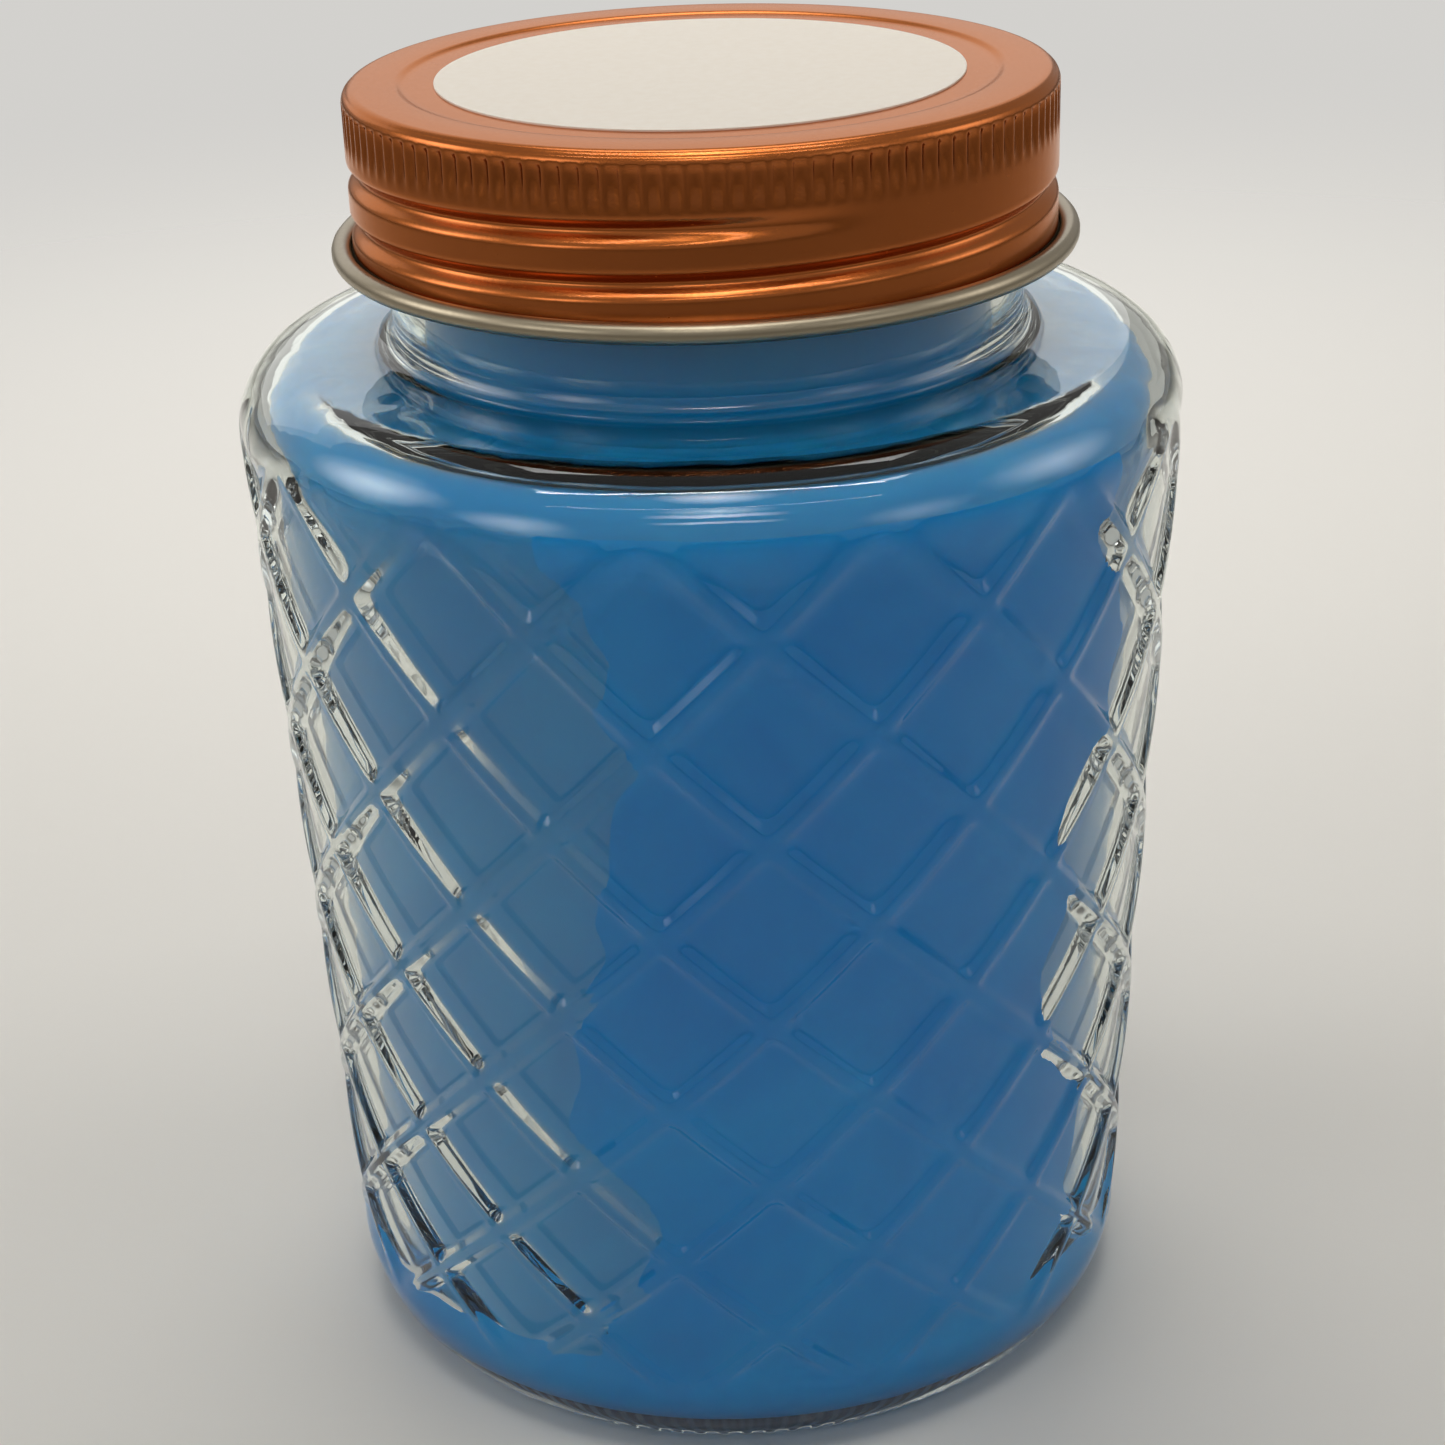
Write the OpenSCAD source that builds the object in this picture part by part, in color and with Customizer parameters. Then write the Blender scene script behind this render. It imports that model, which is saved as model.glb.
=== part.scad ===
// A jar candle: a pressed glass mason-style jar with a raised diamond lattice,
// filled with blue wax on two wicks, and closed by a one-piece metal screw lid.
// Millimetres, +Z up. The origin is the centre of the jar's standing ring.

/* [Jar] */
// Height of the jar from the table to its rim
jar_h = 139.2; // [138.8:0.1:139.4]
// Outer radius of the ring that the jar stands on
foot_r = 36.8; // [36:0.1:37.5]
// Width of that flat standing ring
foot_w = 3; // [2:0.5:4]
// Height of the hollow pushed up under the jar
push_up = 2.2; // [1:0.1:3]
// How far the rounded heel reaches out beyond the foot
heel_w = 8.1; // [7.6:0.1:8.4]
// Height at which the heel meets the side
heel_h = 10.3; // [10:0.1:11]
// Radius that the side gains per millimetre of height
side_taper = 0.051; // [0.045:0.001:0.055]
// Height at which the side turns into the shoulder
shoulder_z = 106.6; // [106:0.1:107]
// Radius of the shoulder's round, on the outside
shoulder_round = 7.6; // [7.2:0.1:8]
// How much the shoulder climbs from its round to the neck
shoulder_rise = 0.4; // [0.2:0.1:0.6]
// Outer radius of the neck, below the thread
neck_r = 33; // [32.8:0.1:33.2]
// Radius of the hollow curve where the neck meets the shoulder
neck_fillet = 2.6; // [2:0.1:3]
// Thickness of the glass inside the lattice
wall = 2.9; // [2.5:0.1:3.2]
// Thickness of the glass in the neck
neck_wall = 3.4; // [3:0.1:3.8]
// Height of the glass floor inside the jar
floor_z = 4; // [3.5:0.1:6]
// Radius of the corner between floor and side, inside
floor_round = 6; // [5:0.1:8]
// Radius of the inner edge where the neck opens into the body
bore_round = 3; // [2:0.1:4]
// Radius of the rounded edges of the rim
rim_round = 0.9; // [0.5:0.1:1.1]

/* [Diamond lattice] */
// Diamonds round the jar
cells = 14; // [14:1:14]
// Row of nodes at which the lattice starts, where row 0 is the lowest full one
row_low = -1; // [-1:1:-1]
// Row of nodes at which it ends
row_high = 9; // [9:1:9]
// Angle of the first node, from the front towards +X
lattice_turn = 4.66; // [0:0.01:25]
// Height of the lowest full row of nodes
row0_z = 17.5; // [17:0.1:18]
// Height from that row to the next
row_step = 9.15; // [9:0.01:9.2]
// How much the steps grow on the way up, because the jar widens
row_growth = 0.119; // [0.11:0.001:0.12]
// Height of a rib above the diamond's floor
rib_h = 0.8; // [0.5:0.05:1]
// Width of a rib across its flat top
rib_top_w = 1.6; // [1.2:0.1:2]
// Width of a rib where it meets the diamond's floor
rib_foot_w = 3.3; // [2.8:0.1:3.8]
// Height over which the diamonds sink in from the heel
fade_in = 5; // [3:0.5:7]
// Height over which they fade out into the shoulder
fade_out = 7; // [5:0.5:9]

/* [Screw thread] */
// Rise of the thread per turn, five turns to the inch
pitch = 5.08; // [5.08:0.01:5.08]
// Height of the lid's pressed thread at the front, lower turn
bead_z = 128.63; // [128.5:0.01:128.8]
// Where the pressed thread starts, in degrees from the front
bead_start = -134; // [-140:1:-120]
// Length of the pressed thread in turns
bead_turns = 1.45; // [1.3:0.05:1.5]
// Depth of the pressed thread
bead_depth = 1.1; // [1:0.05:1.2]
// Width of the pressed groove across its bottom
bead_tip_w = 0.7; // [0.6:0.1:0.8]
// How far the groove widens on each side for each millimetre outwards
bead_slope = 0.636; // [0.6:0.01:0.65]
// Where the glass thread starts, in degrees from the front
thread_start = 40; // [20:1:60]
// Length of the glass thread in turns
thread_turns = 1.2; // [1.1:0.05:1.25]
// Height of the glass thread's centre above the lid's
thread_lead = 1.75; // [1.7:0.01:1.9]
// Radius of the glass thread's crest
thread_r = 35.2; // [35:0.05:35.3]
// Width of the glass thread across its crest
thread_tip_w = 1.2; // [1:0.1:1.3]
// Width of the glass thread where it leaves the neck
thread_foot_w = 2.9; // [2.7:0.1:3]

/* [Lid] */
// Outer radius of the lid's wall
lid_r = 36.4; // [36.3:0.05:36.6]
// Height of the lid's top face above the table
lid_top_z = 141; // [141:0.1:141]
// Thickness of the formed sheet
sheet = 0.5; // [0.4:0.05:0.5]
// Radius of the rounded top edge
lid_round = 1.4; // [1:0.1:1.6]
// Radius of the sunk panel in the top
panel_r = 30.8; // [30:0.1:31.5]
// Depth of the sunk panel
panel_sink = 0.3; // [0.3:0.1:0.3]
// Flutes in the grip band
flutes = 120; // [90:1:130]
// Depth of a flute
flute_depth = 0.35; // [0.2:0.05:0.4]
// Height of the middle of the grip band
flute_z = 137.7; // [137.5:0.1:137.9]
// Height of the grip band
flute_h = 4.2; // [3.6:0.1:4.4]
// Radius of the rolled edge, measured across the roll
curl_round = 0.75; // [0.6:0.05:0.8]
// Distance of the roll's centre from the lid's axis
curl_r = 37.6; // [37.5:0.05:37.7]
// Height of the roll's centre
curl_z = 124.45; // [124.4:0.05:124.6]
// Thickness of the foam liner
liner_t = 1; // [1:0.1:1]
// Radius of the foam liner
liner_r = 34.8; // [34:0.1:34.9]
// Radius of the round paper label
label_r = 27; // [26:0.1:28]
// Thickness of the label
label_t = 0.2; // [0.1:0.05:0.25]

/* [Candle] */
// Height of the wax above the table
wax_z = 122; // [116:0.5:124]
// How far the top of the wax dips to its middle
wax_dip = 0.8; // [0:0.1:1.5]
// Air gap left between wax and glass as the wax shrinks
wax_gap = 0.2; // [0.15:0.05:0.3]
// Distance between the two wicks
wick_gap = 34; // [30:1:38]
// Radius of the braided wick
wick_r = 1.3; // [1:0.1:1.5]
// Height of the wick above the wax
wick_out = 6; // [4:0.5:8]
// Radius of the wick clip's disc and of its sticker
clip_r = 10; // [8:0.5:10]
// Thickness of the clip's disc
clip_t = 0.4; // [0.3:0.1:0.6]
// Outer radius of the clip's collar
collar_r = 2.2; // [2:0.1:2.4]
// Height of the collar above the disc
collar_h = 6; // [4:0.5:8]
// Thickness of the sticker under the clip
sticker_t = 0.8; // [0.5:0.1:1]

/* [Hidden] */
// The one node that is built, or all of them

// Facets of a full circle, on the jar and lid and on the small parts
round_fn = 120;
small_fn = 48;
// How far a cutting body reaches past what it cuts
overlap = 1;
// How far the ends of a ridge dip below the face that it stands on
dip = 0.2;

// Glass: the bottom and the top are turned profiles, and the lattice lies between
// them, with its ends let a little way into both.
let_in = 0.3;
body_low_z = row_z(row_low);
body_high_z = row_z(row_high);
joint_low_z = body_low_z + let_in;
joint_high_z = body_high_z - let_in;
shoulder_r = crest_r(shoulder_z) - shoulder_round;
neck_z = shoulder_z + shoulder_round + shoulder_rise;
bore_r = neck_r - neck_wall;
skin = rib_h + wall;

// The hollow: centre of the round between floor and side, and of the neck's edge.
corner_z = floor_z + floor_round;
corner_r = side_in(corner_z) - floor_round;
bore_edge_z = neck_z - skin + bore_round;

// Candle: the stack from the floor up is sticker, clip, collar.
clip_z = floor_z + sticker_t;
collar_top_z = clip_z + clip_t + collar_h;
wick_z = clip_z + clip_t;

// Lid: the inner wall, and the underside of the panel that the liner meets.
lid_in_r = lid_r - sheet;
lid_wall_z = curl_z + curl_round;
liner_z = lid_top_z - panel_sink - sheet - liner_t;

// Height of row k of the lattice's nodes.
function row_z(k) = row0_z + row_step * k + row_growth * k * k;

// Outer radius of the jar at height z, from the heel to the shoulder, and the
// radius inside its side wall.
function crest_r(z) =
    z < heel_h
    ? foot_r + heel_w * sqrt(1 - pow((heel_h - z) / heel_h, 2))
    : side_r(min(z, shoulder_z)) - shoulder_drop(max(0, z - shoulder_z));
function side_r(z) = foot_r + heel_w + side_taper * (z - heel_h);
function side_in(z) = side_r(z) - skin;
function shoulder_drop(h) = shoulder_round - sqrt(pow(shoulder_round, 2) - h * h);

// Points along an arc from angle a0 to a1.
function arc(x, z, r, a0, a1, steps = 8) =
    [for (i = [0 : steps]) let (a = a0 + (a1 - a0) * i / steps) [x + r * cos(a), z + r * sin(a)]];

// A value from 0 to 1 that eases in and out.
function ease(t) = let (s = min(1, max(0, t))) s * s * (3 - 2 * s);

// Foot, heel and pushed-up base, up to where the lattice takes over. The heel's
// points lie closer together towards the foot, where it curves most.
module base_glass() {
    steps = 10;
    crowding = 1.6;
    flatness = 4;
    heel = [for (i = [0 : steps]) let (z = joint_low_z * pow(i / steps, crowding)) [crest_r(z), z]];
    push = [
        for (i = [0 : steps / 2])
            let (t = 2 * i / steps)
            [(foot_r - foot_w) * t, push_up * (1 - pow(t, flatness))]
    ];
    rotate_extrude($fn = round_fn) polygon(concat([[0, joint_low_z]], push, heel));
}

// Shoulder, hollow curve and plain neck up to the rim.
module shoulder_glass() {
    shoulder_a0 = asin((joint_high_z - shoulder_z) / shoulder_round);
    rotate_extrude($fn = round_fn)
        polygon(concat(
            [[0, joint_high_z]],
            arc(shoulder_r, shoulder_z, shoulder_round, shoulder_a0, 90),
            arc(neck_r + neck_fillet, neck_z + neck_fillet, neck_fillet, 270, 180, 6),
            arc(neck_r - rim_round, jar_h - rim_round, rim_round, 0, 90, 4),
            [[0, jar_h]]
        ));
}

// The lattice is a net of two families of slanting ribs. Its points lie on the
// ribs' edges and the diamonds' middles: index i runs along one family and j
// along the other, and i - j goes up the jar.
rib_apart = let (
    across = 2 * PI * side_r(row_z(4)) / cells,
    up = row_z(5) - row_z(3)
) across * up / sqrt(across * across + up * up);
rib_top = rib_top_w / rib_apart / 2;
rib_foot = rib_foot_w / rib_apart / 2;
rib_line = [-rib_top, rib_top, rib_foot, 0.5, 1 - rib_foot];
lines = len(rib_line);
net_rows = (row_high - row_low) * lines;
net_cols = cells * lines;
first_row = row_low * lines;

function line_of(i) = i - lines * floor(i / lines);
function line_at(i) = floor(i / lines) + rib_line[line_of(i)];
function on_rib(i) = line_of(i) < 2;
function sink(z) = rib_h * ease((z - body_low_z) / fade_in) * ease((body_high_z - z) / fade_out);
function net_point(i, j, inset) = let (
    u = line_at(i),
    v = line_at(j),
    z = row_z(u - v),
    a = lattice_turn + 360 / cells * (u + v) / 2,
    r = crest_r(z) - inset - ((on_rib(i) || on_rib(j)) ? 0 : sink(z))
) [r * sin(a), -r * cos(a), z];

module lattice_glass() {
    // The end rings lie just inside the turned glass, so that the solids cross cleanly.
    inset = 0.06;
    points = [
        for (q = [0 : net_rows])
            for (c = [0 : net_cols - 1])
                let (d = q + first_row)
                net_point(c + ceil(d / 2), c - floor(d / 2), (q == 0 || q == net_rows) ? inset : 0)
    ];
    side = [
        for (q = [0 : net_rows - 1])
            for (c = [0 : net_cols - 1])
                let (
                    here = q * net_cols + c,
                    next = q * net_cols + (c + 1) % net_cols,
                    up = (q + 1) * net_cols + c,
                    up_left = (q + 1) * net_cols + (c + net_cols - 1) % net_cols
                )
                each [[here, up_left, up], [here, up, next]]
    ];
    bottom = [[for (c = [0 : net_cols - 1]) c]];
    top = [[for (c = [net_cols - 1 : -1 : 0]) net_rows * net_cols + c]];
    polyhedron(points = points, faces = concat(side, bottom, top));
}

// A ridge that climbs round the axis. Its section is a trapezium from base_r to
// tip_r, and both ends run out smoothly to flat_r. The run-out is in degrees. The
// section's corners go the same way round whether the ridge points in or out.
module ridge(start, turns, z, base_r, tip_r, flat_r, base_half, tip_half) {
    step = 7.5;
    run_out = 35;
    steps = ceil(turns * 360 / step);
    way = sign(tip_r - base_r);
    corners = function (r) [
        [base_r, way * base_half],
        [r, way * tip_half],
        [r, -way * tip_half],
        [base_r, -way * base_half]
    ];
    points = [
        for (i = [0 : steps])
            let (
                along = turns * 360 * i / steps,
                a = start + along,
                rise = ease(min(along, turns * 360 - along) / run_out),
                r = flat_r + (tip_r - flat_r) * rise,
                mid = z + pitch * a / 360
            )
            for (p = corners(r))
                [p[0] * sin(a), -p[0] * cos(a), mid + p[1]]
    ];
    side = [
        for (i = [0 : steps - 1])
            for (k = [0 : 3])
                let (a = 4 * i + k, b = 4 * i + (k + 1) % 4)
                each [[a, a + 4, b], [b, a + 4, b + 4]]
    ];
    ends = [[0, 1, 2, 3], [for (k = [3 : -1 : 0]) 4 * steps + k]];
    polyhedron(points = points, faces = concat(side, ends));
}

module neck_thread() {
    ridge(thread_start, thread_turns, bead_z + thread_lead, neck_r - overlap, thread_r, neck_r - dip,
        thread_foot_w / 2, thread_tip_w / 2);
}

// The space inside the jar, drawn in by gap where the wax needs its outline.
function hollow_outline(gap) = concat(
    arc(corner_r, corner_z, floor_round - gap, -90, 0),
    arc(shoulder_r, shoulder_z, shoulder_round - skin - gap, 0, 90),
    arc(bore_r + bore_round, bore_edge_z, bore_round + gap, 270, 180, 6)
);

module hollow() {
    rotate_extrude($fn = round_fn)
        polygon(concat(
            [[0, floor_z]],
            hollow_outline(0),
            arc(bore_r + rim_round, jar_h - rim_round, rim_round, 180, 90, 4),
            [[bore_r + rim_round, jar_h + overlap], [0, jar_h + overlap]]
        ));
}

module glass_jar() {
    color([0.8, 0.9, 0.93, 0.4])
        difference() {
            union() {
                base_glass();
                lattice_glass();
                shoulder_glass();
                neck_thread();
            }
            hollow();
        }
}

module each_wick() {
    for (side = [-1, 1])
        translate([side * wick_gap / 2, 0, 0])
            children();
}

module wax_fill() {
    top_r = bore_r - wax_gap;
    steps = 4;
    top = [for (i = [steps : -1 : 0]) let (t = i / steps) [top_r * t, wax_z - wax_dip * (1 - t * t)]];
    color("#3a86c0")
        difference() {
            rotate_extrude($fn = round_fn)
                polygon(concat(
                    [[0, floor_z], [corner_r - wax_gap, floor_z]],
                    hollow_outline(wax_gap),
                    top
                ));
            each_wick() {
                cylinder(r = wick_r, h = wax_z + overlap, $fn = small_fn);
            }
            each_wick() {
                cylinder(r = collar_r, h = collar_top_z, $fn = small_fn);
            }
            each_wick() {
                cylinder(r = clip_r, h = clip_z + clip_t, $fn = small_fn);
            }
        }
}

module wick(side) {
    color("#e9e1cd")
        translate([side * wick_gap / 2, 0, wick_z])
            cylinder(r = wick_r, h = wax_z + wick_out - wick_z, $fn = small_fn);
}

module wick_clip(side) {
    color("silver")
        translate([side * wick_gap / 2, 0, clip_z])
            difference() {
                union() {
                    cylinder(r = clip_r, h = clip_t, $fn = small_fn);
                    cylinder(r = collar_r, h = clip_t + collar_h, $fn = small_fn);
                }
                translate([0, 0, clip_t])
                    cylinder(r = wick_r, h = collar_h + overlap, $fn = small_fn);
            }
}

module wick_sticker(side) {
    color("white")
        translate([side * wick_gap / 2, 0, floor_z])
            cylinder(r = clip_r, h = sticker_t, $fn = small_fn);
}

// The lid's sheet: sunk panel, rounded edge, wall, and an edge that flares out
// into the roll.
module lid_sheet() {
    panel_z = lid_top_z - panel_sink;
    edge_r = lid_r - lid_round;
    edge_z = lid_top_z - lid_round;
    flare_r = lid_r + curl_round;
    outside = concat(
        [[0, panel_z], [panel_r - sheet, panel_z], [panel_r, lid_top_z]],
        arc(edge_r, edge_z, lid_round, 90, 0),
        arc(flare_r, lid_wall_z, curl_round, 180, 270, 4)
    );
    inside = concat(
        arc(flare_r, lid_wall_z, curl_round + sheet, 270, 180, 4),
        arc(edge_r, edge_z, lid_round - sheet, 0, 90),
        [[panel_r + sheet, lid_top_z - sheet], [panel_r, panel_z - sheet], [0, panel_z - sheet]]
    );
    rotate_extrude($fn = round_fn)
        union() {
            polygon(concat(outside, [[curl_r, curl_z]], inside));
            translate([curl_r, curl_z])
                circle(r = curl_round, $fn = small_fn);
        }
}

// Everything outside the fluted outline, over the height of the grip band.
module flute_cutter() {
    ridge_r = lid_r + flute_depth / 2;
    flute_r = lid_r - flute_depth;
    // Where the ridge, the slope, the flute's floor and the next slope start
    share = [0, 0.3, 0.4, 0.9];
    points = [
        for (i = [0 : flutes - 1])
            for (k = [0 : 3])
                let (a = 360 / flutes * (i + share[k]), r = k < 2 ? ridge_r : flute_r)
                [r * cos(a), r * sin(a)]
    ];
    translate([0, 0, flute_z - flute_h / 2])
        linear_extrude(height = flute_h)
            difference() {
                circle(r = lid_r + overlap, $fn = round_fn);
                polygon(points);
            }
}

// The pressed thread is a ridge inside the wall, and the groove that makes it
// follows outside, one sheet's thickness away.
module lid_shell() {
    groove_r = lid_r - bead_depth;
    inner_r = groove_r - sheet;
    outer_r = lid_r + overlap;
    groove_half = function (r) bead_tip_w / 2 + bead_slope * (r - groove_r);
    bead_half = function (r) groove_half(r) + sheet * sqrt(1 + bead_slope * bead_slope);
    color("#b8622c")
        difference() {
            union() {
                lid_sheet();
                ridge(bead_start, bead_turns, bead_z, lid_r - dip / 2, inner_r, lid_in_r + dip / 2,
                    bead_half(lid_r - dip / 2), bead_half(inner_r));
            }
            ridge(bead_start, bead_turns, bead_z, outer_r, groove_r, lid_r + dip,
                groove_half(outer_r), groove_half(groove_r));
            flute_cutter();
        }
}

module lid_liner() {
    color("whitesmoke")
        translate([0, 0, liner_z])
            cylinder(r = liner_r, h = liner_t, $fn = round_fn);
}

module lid_label() {
    color("#fdf1e0")
        translate([0, 0, lid_top_z - panel_sink])
            cylinder(r = label_r, h = label_t, $fn = round_fn);
}

glass_jar();
wax_fill();
wick(-1);  // wick_left
wick(1);  // wick_right
wick_clip(-1);  // wick_clip_left
wick_clip(1);  // wick_clip_right
wick_sticker(-1);  // wick_sticker_left
wick_sticker(1);  // wick_sticker_right
lid_shell();
lid_liner();
lid_label();
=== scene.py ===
"""Looks of a jar candle: a pressed glass jar with a diamond lattice, blue wax and a screw lid.

Pieces are modelled in millimetres, and new_piece turns them to metres. The floor's fade,
the lamps and the camera are in metres.
"""

import math

import bmesh
import bpy
from mathutils import Matrix, Vector, noise


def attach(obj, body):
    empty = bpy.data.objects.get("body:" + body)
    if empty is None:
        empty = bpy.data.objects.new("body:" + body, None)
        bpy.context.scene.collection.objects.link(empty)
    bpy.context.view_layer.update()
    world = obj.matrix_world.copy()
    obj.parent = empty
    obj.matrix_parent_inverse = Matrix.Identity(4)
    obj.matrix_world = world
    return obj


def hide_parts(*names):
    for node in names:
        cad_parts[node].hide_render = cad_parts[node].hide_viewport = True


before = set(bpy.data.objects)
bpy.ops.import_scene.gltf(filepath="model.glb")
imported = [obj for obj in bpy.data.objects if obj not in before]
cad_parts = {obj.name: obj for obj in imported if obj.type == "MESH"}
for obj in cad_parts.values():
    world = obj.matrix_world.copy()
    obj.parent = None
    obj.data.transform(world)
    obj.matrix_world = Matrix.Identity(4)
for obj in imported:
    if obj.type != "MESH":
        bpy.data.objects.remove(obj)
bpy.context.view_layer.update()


# ------------------------------------------------------------------ glass jar
# The jar is clear soda-lime glass, pressed in a mould with the lattice cut into it.
# Ribs cross in two families and run out into the shoulder and the heel. The neck
# is plain, with a right-hand thread that the mould's neck ring forms.
MM = 0.001
WELD = 1e-3
JAR_H = 139.2
FOOT_R = 36.8
FOOT_W = 3.0
PUSH_UP = 2.2
HEEL_W = 8.1
HEEL_H = 10.3
HEEL_STEPS = 9
HEEL_CROWDING = 1.5
SIDE_TAPER = 0.051
SHOULDER_Z = 106.6
SHOULDER_ROUND = 7.6
LEDGE_RISE = 0.4
NECK_R = 33.0
NECK_FILLET = 2.6
BORE_R = 29.6
BORE_FILLET = 3.0
FLOOR_Z = 4.0
FLOOR_ROUND = 6.0
RIM_ROUND = 0.9
SKIN = 3.7

CELLS = 14
LATTICE_TURN = math.radians(4.66)
ROW0_Z = 17.5
ROW_STEP = 9.15
ROW_GROWTH = 0.119
ROW_LOW = -1
ROW_HIGH = 9
NET_LINES = 20
LINE_CROWDING = 0.75
RIB_APART = 14.6
RIB_H = 0.8
RIB_TOP_HALF = 0.6
RIB_FOOT_HALF = 1.6
RIB_CORNER = 0.25
FADE_IN = 5.0
FADE_OUT = 7.0

PITCH = 5.08
BEAD_Z = 128.63
THREAD_LEAD = 1.75
THREAD_START = 40.0
THREAD_TURNS = 1.2
THREAD_H = 2.2
THREAD_TOP_HALF = 0.6
THREAD_FOOT_HALF = 1.45
THREAD_RUN_OUT = 35.0
THREAD_LOW_Z = 126.0
THREAD_STEP = 0.35

FOOT_BARS = 105
FOOT_BAR_TOP = 3.2
FOOT_BAR_H = 0.25
GLASS_RIPPLE = 11.11


def ease(t):
    """0 up to 0, 1 from 1 on, and a smooth rise between."""
    t = min(1.0, max(0.0, t))
    return t * t * (3 - 2 * t)


def arc(x, z, r, start, end, steps):
    """Points along an arc in the (radius, height) plane, angles in degrees."""
    turn = [math.radians(start + (end - start) * i / steps) for i in range(steps + 1)]
    return [(x + r * math.cos(a), z + r * math.sin(a)) for a in turn]


def straight(r0, z0, r1, z1, steps):
    """Points between two places, both ends left out."""
    return [(r0 + (r1 - r0) * i / steps, z0 + (z1 - z0) * i / steps) for i in range(1, steps)]


def row_z(k):
    """Height at which the ribs cross for the kth time. The rows grow taller upwards."""
    return ROW0_Z + ROW_STEP * k + ROW_GROWTH * k * k


def side_r(z):
    """Radius of the tapered side at height z."""
    return FOOT_R + HEEL_W + SIDE_TAPER * (z - HEEL_H)


# The shoulder's outer and inner rounds share a centre. The wax fills the inner shape.
SHOULDER_R = side_r(SHOULDER_Z) - SHOULDER_ROUND
INNER_ROUND = SHOULDER_ROUND - SKIN
CEILING_Z = SHOULDER_Z + INNER_ROUND
BORE_FILLET_R = BORE_R + BORE_FILLET
BORE_FILLET_Z = CEILING_Z + LEDGE_RISE + BORE_FILLET
INNER_HEEL_Z = FLOOR_Z + FLOOR_ROUND
INNER_HEEL_R = side_r(INNER_HEEL_Z) - SKIN


def crest_r(z):
    """Radius over the ribs' tops at height z."""
    if z < HEEL_H:
        return FOOT_R + HEEL_W * math.sqrt(max(0, 1 - ((HEEL_H - z) / HEEL_H) ** 2))
    drop = SHOULDER_ROUND - math.sqrt(SHOULDER_ROUND ** 2 - max(0, z - SHOULDER_Z) ** 2)
    return side_r(min(z, SHOULDER_Z)) - drop


def ramp(t, blend):
    """0 below 0, 1 above 1 and straight between, with both corners rounded over the given share."""
    def corner(x):
        return 0 if x < -blend else x if x > blend else (x + blend) ** 2 / (4 * blend)
    return corner(t) - corner(t - 1)


def rib_rise(offset):
    """1 on a rib's top and 0 on a diamond's floor, offset being in net units from the rib's line."""
    away = abs(offset - round(offset)) * RIB_APART
    return 1 - ramp((away - RIB_TOP_HALF) / (RIB_FOOT_HALF - RIB_TOP_HALF), RIB_CORNER)


def on_jar(co):
    """Wraps a point of the flat net, x and y counting ribs of the two families, round the jar."""
    z = row_z(co.x - co.y)
    sink = RIB_H * ease((z - row_z(ROW_LOW)) / FADE_IN) * ease((row_z(ROW_HIGH) - z) / FADE_OUT)
    floor_share = (1 - rib_rise(co.x)) * (1 - rib_rise(co.y))
    r = crest_r(z) - sink * floor_share
    a = LATTICE_TURN + 2 * math.pi / CELLS * (co.x + co.y) / 2
    return Vector((r * math.sin(a), -r * math.cos(a), z))


def everything(bm):
    return bm.verts[:] + bm.edges[:] + bm.faces[:]


def only_verts(geom):
    return [g for g in geom if isinstance(g, bmesh.types.BMVert)]


def lattice_net():
    """One diamond is a grid with its lines crowded towards the ribs. Copies of it fill the side."""
    net = bmesh.new()
    bmesh.ops.create_grid(net, x_segments=NET_LINES, y_segments=NET_LINES, size=0.5)
    for v in net.verts:
        for axis in (0, 1):
            s = v.co[axis] + 0.5
            v.co[axis] = s - LINE_CROWDING * math.sin(2 * math.pi * s) / (2 * math.pi)
    diamond = everything(net)
    for row in range(ROW_LOW, ROW_HIGH + 1):
        across = math.ceil(row / 2)
        if row != 0:
            copy = bmesh.ops.duplicate(net, geom=diamond)["geom"]
            bmesh.ops.translate(net, vec=(across, across - row, 0), verts=only_verts(copy))
    for row, way in ((ROW_LOW, -1), (ROW_HIGH, 1)):
        cut = {"plane_co": (row, 0, 0), "plane_no": (way, -way, 0)}
        bmesh.ops.bisect_plane(net, geom=everything(net), dist=1e-5, clear_outer=True, **cut)
    column = everything(net)
    for c in range(1, CELLS):
        copy = bmesh.ops.duplicate(net, geom=column)["geom"]
        bmesh.ops.translate(net, vec=(c, c, 0), verts=only_verts(copy))
    for v in net.verts:
        v.co = on_jar(v.co)
    bmesh.ops.remove_doubles(net, verts=net.verts, dist=WELD)
    return net


def open_ring(bm, z):
    """The open edges of the lattice at height z."""
    return [e for e in bm.edges if e.is_boundary and abs(e.verts[0].co.z - z) < 0.01]


def carry_round(bm, ring, outline):
    """Extrudes a ring of edges along an outline of (radius, height) and closes it at the axis."""
    for r, z in outline:
        grown = bmesh.ops.extrude_edge_only(bm, edges=ring)["geom"]
        verts = only_verts(grown)
        new = set(verts)
        ring = [g for g in grown if isinstance(g, bmesh.types.BMEdge) and set(g.verts) <= new]
        for v in verts:
            flat = Vector((v.co.x, v.co.y, 0)).normalized() * r
            v.co = (flat.x, flat.y, z)
    bmesh.ops.pointmerge(bm, verts=verts, merge_co=(0, 0, outline[-1][1]))


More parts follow.
